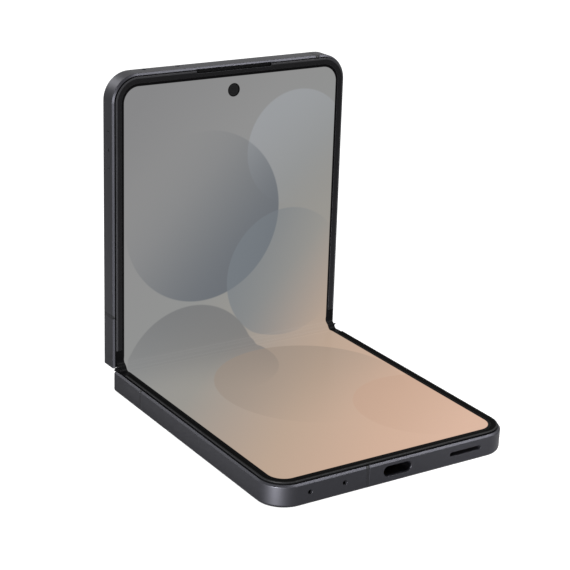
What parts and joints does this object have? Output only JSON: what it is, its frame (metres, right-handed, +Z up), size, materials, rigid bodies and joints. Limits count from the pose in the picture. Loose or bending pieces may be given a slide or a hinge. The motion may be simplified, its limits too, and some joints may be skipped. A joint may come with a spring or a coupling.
{
  "type": "clamshell folding phone",
  "caption": "Clamshell folding phone standing open at about a right angle, with a bendable inner screen, a geared two-axis hinge, a card tray and keys.",
  "frame": {"origin": "centre of the back face of the lower half, the flat face that lies on the table", "axes": "+X across the phone to the right as its user sees it, along the fold; +Y along the lower half from its free end to the hinge; +Z up, out of the lower half's screen"},
  "size_m": [0.0755, 0.0926, 0.0905],
  "materials": {
    "rail_metal": "satin anodised graphite",
    "black_plastic": "fine matt",
    "band_plastic": "fine matt",
    "back_glass": "matt etched, opaque",
    "cover_glass": "polished, opaque",
    "display": "polished screen, opaque",
    "steel_plate": "bare rolled steel",
    "hinge_steel": "sintered steel",
    "spring_steel": "blued spring steel",
    "gear_metal": "cut brass",
    "pouch": "wrapped foil pouch",
    "copper": "enamelled wire",
    "board": "solder mask",
    "nickel": "nickel plate",
    "screw_steel": "plated",
    "camera_glass": "coated lens glass, opaque",
    "flash_lens": "clear lens over a yellow chip",
    "card_plastic": "printed-free card stock",
    "flex_film": "polyimide film"
  },
  "bodies": {
    "lower_half": {"lower_frame": "rail_metal", "lower_antenna_bands": "band_plastic", "lower_rim": "black_plastic", "lower_back_glass": "back_glass", "lower_display": "display", "lower_support_plate": "steel_plate", "lower_hinge_brackets": "hinge_steel", "lower_battery": "pouch", "charging_coil": "copper", "lower_board": "board", "usb_socket": "nickel", "usb_tongue": "black_plastic", "loudspeaker": "black_plastic", "loudspeaker_mesh": "black_plastic", "vibration_motor": "nickel", "lower_microphones": "nickel", "lower_magnets": "nickel", "lower_screws": "screw_steel"},
    "spine": {"spine_cover": "rail_metal", "spine_end_caps": "black_plastic", "hinge_end_seals": "black_plastic", "hinge_blocks": "hinge_steel", "torque_clips": "spring_steel", "display_fold": "display", "fold_flex": "flex_film"},
    "idler_1": {"idler_gear_1": "gear_metal"},
    "idler_2": {"idler_gear_2": "gear_metal"},
    "idler_3": {"idler_gear_3": "gear_metal"},
    "idler_4": {"idler_gear_4": "gear_metal"},
    "upper_half": {"upper_frame": "rail_metal", "upper_antenna_bands": "band_plastic", "upper_rim": "black_plastic", "upper_back_glass": "cover_glass", "upper_display": "display", "upper_support_plate": "steel_plate", "upper_hinge_brackets": "hinge_steel", "upper_battery": "pouch", "cover_display": "cover_glass", "main_board": "board", "shield_cans": "steel_plate", "processor": "black_plastic", "earpiece": "black_plastic", "earpiece_mesh": "black_plastic", "front_camera": "black_plastic", "rear_cameras": "black_plastic", "camera_rings": "rail_metal", "camera_windows": "camera_glass", "flash_lamp": "flash_lens", "card_reader": "nickel", "key_switches": "nickel", "upper_magnets": "nickel", "upper_screws": "screw_steel"},
    "volume_key": {"volume_key": "rail_metal"},
    "side_key": {"side_key": "rail_metal"},
    "card_tray": {"card_tray": "rail_metal", "phone_card": "card_plastic"}
  },
  "joints": [
    {"name": "lower_fold", "type": "hinge", "parent": "lower_half", "child": "spine", "pos_m": [0, 0.04015, 0.0058], "axis": [1, 0, 0], "range_deg": [-44.65, 45.35], "deforming": ["display_fold", "fold_flex"]},
    {"name": "upper_fold", "type": "hinge", "parent": "spine", "child": "upper_half", "pos_m": [0, 0.04278, 0.0084], "axis": [1, 0, 0], "range_deg": [-44.65, 45.35], "deforming": ["display_fold", "fold_flex"]},
    {"name": "idler_1_spin", "type": "hinge", "parent": "spine", "child": "idler_1", "pos_m": [0, 0.04101, 0.00338], "axis": [1, 0, 0], "range_deg": [-72.56, 73.69]},
    {"name": "idler_2_spin", "type": "hinge", "parent": "spine", "child": "idler_2", "pos_m": [0, 0.04241, 0.00476], "axis": [1, 0, 0], "range_deg": [-73.69, 72.56]},
    {"name": "idler_3_spin", "type": "hinge", "parent": "spine", "child": "idler_3", "pos_m": [0, 0.0438, 0.00613], "axis": [1, 0, 0], "range_deg": [-72.56, 73.69]},
    {"name": "idler_4_spin", "type": "hinge", "parent": "spine", "child": "idler_4", "pos_m": [0, 0.04519, 0.00751], "axis": [1, 0, 0], "range_deg": [-73.69, 72.56]},
    {"name": "volume_key_press", "type": "slide", "parent": "upper_half", "child": "volume_key", "axis": [-1, 0, 0], "range_m": [0, 0.00025], "stiffness_N_per_m": 3000, "springref_m": -0.0003},
    {"name": "side_key_press", "type": "slide", "parent": "upper_half", "child": "side_key", "axis": [-1, 0, 0], "range_m": [0, 0.00025], "stiffness_N_per_m": 3000, "springref_m": -0.0003},
    {"name": "card_tray_slide", "type": "slide", "parent": "upper_half", "child": "card_tray", "axis": [-1, 0, 0], "range_m": [0, 0.018]}
  ],
  "couplings": [
    {"joint": "upper_fold", "follows": "lower_fold", "ratio": 1},
    {"joint": "idler_1_spin", "follows": "lower_fold", "ratio": 1.625},
    {"joint": "idler_2_spin", "follows": "lower_fold", "ratio": -1.625},
    {"joint": "idler_3_spin", "follows": "lower_fold", "ratio": 1.625},
    {"joint": "idler_4_spin", "follows": "lower_fold", "ratio": -1.625}
  ]
}
